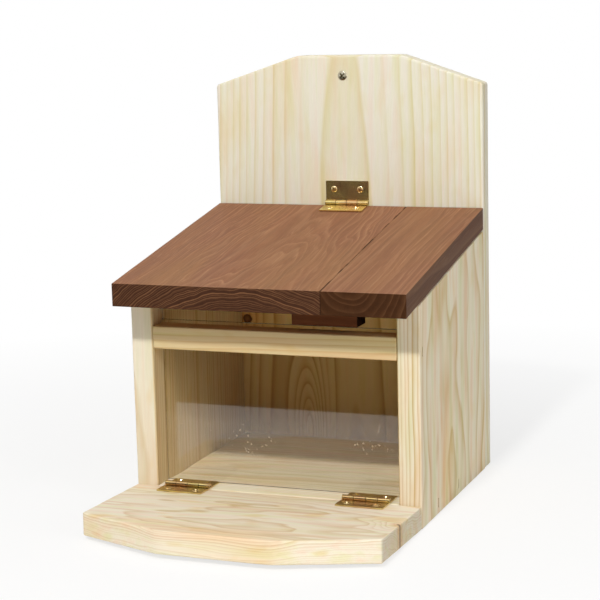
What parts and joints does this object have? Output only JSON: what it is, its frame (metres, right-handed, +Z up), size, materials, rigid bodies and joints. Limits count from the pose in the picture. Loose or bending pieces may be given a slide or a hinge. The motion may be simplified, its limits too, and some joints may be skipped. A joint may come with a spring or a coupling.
{
  "type": "squirrel feeder box",
  "caption": "Pine squirrel feeder box on a tall back board, with a stained sloping lid on a brass hinge, a clear window behind a front rail, and a fold-up landing platform.",
  "frame": {"origin": "on the surface that the feeder stands on, in the middle of its bounding box with the platform down", "axes": "+X to the right as seen from the front, -Y to the front (the platform's side), +Z up along the back board"},
  "size_m": [0.236, 0.3206, 0.347],
  "materials": {
    "pine": "planed, bare",
    "stained_pine": "brown wood stain, satin",
    "clear_acrylic": "clear, gloss",
    "brass": "rolled sheet, slightly tarnished",
    "zinc_plated_steel": "plated"
  },
  "bodies": {
    "box": {"back_board": "pine", "left_side": "pine", "right_side": "pine", "floor_board": "pine", "front_rail": "pine", "window_pane": "clear_acrylic", "hanging_screw": "zinc_plated_steel", "top_hinge_back_leaf": "brass", "top_hinge_back_screw_1": "brass", "top_hinge_back_screw_2": "brass", "left_hinge_floor_leaf": "brass", "left_hinge_floor_screw_1": "brass", "left_hinge_floor_screw_2": "brass", "right_hinge_floor_leaf": "brass", "right_hinge_floor_screw_1": "brass", "right_hinge_floor_screw_2": "brass", "top_hinge_pin": "brass", "left_hinge_pin": "brass", "right_hinge_pin": "brass", "back_screw_left_lower": "zinc_plated_steel", "back_screw_left_upper": "zinc_plated_steel", "back_screw_right_lower": "zinc_plated_steel", "back_screw_right_upper": "zinc_plated_steel", "back_screw_floor_left": "zinc_plated_steel", "back_screw_floor_right": "zinc_plated_steel", "rail_staple_left": "zinc_plated_steel", "rail_staple_right": "zinc_plated_steel", "floor_staple_left_front": "zinc_plated_steel", "floor_staple_left_back": "zinc_plated_steel", "floor_staple_right_front": "zinc_plated_steel", "floor_staple_right_back": "zinc_plated_steel"},
    "lid": {"lid_wide_board": "stained_pine", "lid_narrow_board": "stained_pine", "lid_block": "stained_pine", "top_hinge_lid_leaf": "brass", "top_hinge_lid_screw_1": "brass", "top_hinge_lid_screw_2": "brass"},
    "platform": {"platform_board": "pine", "left_hinge_platform_leaf": "brass", "left_hinge_platform_screw_1": "brass", "left_hinge_platform_screw_2": "brass", "right_hinge_platform_leaf": "brass", "right_hinge_platform_screw_1": "brass", "right_hinge_platform_screw_2": "brass"}
  },
  "joints": [
    {"name": "lid_hinge", "type": "hinge", "parent": "box", "child": "lid", "pos_m": [0, 0.13987, 0.2236], "axis": [-1, 0, 0], "range_deg": [0, 100]},
    {"name": "platform_hinge", "type": "hinge", "parent": "box", "child": "platform", "pos_m": [0, -0.03788, 0.0204], "axis": [-1, 0, 0], "range_deg": [0, 88]}
  ]
}
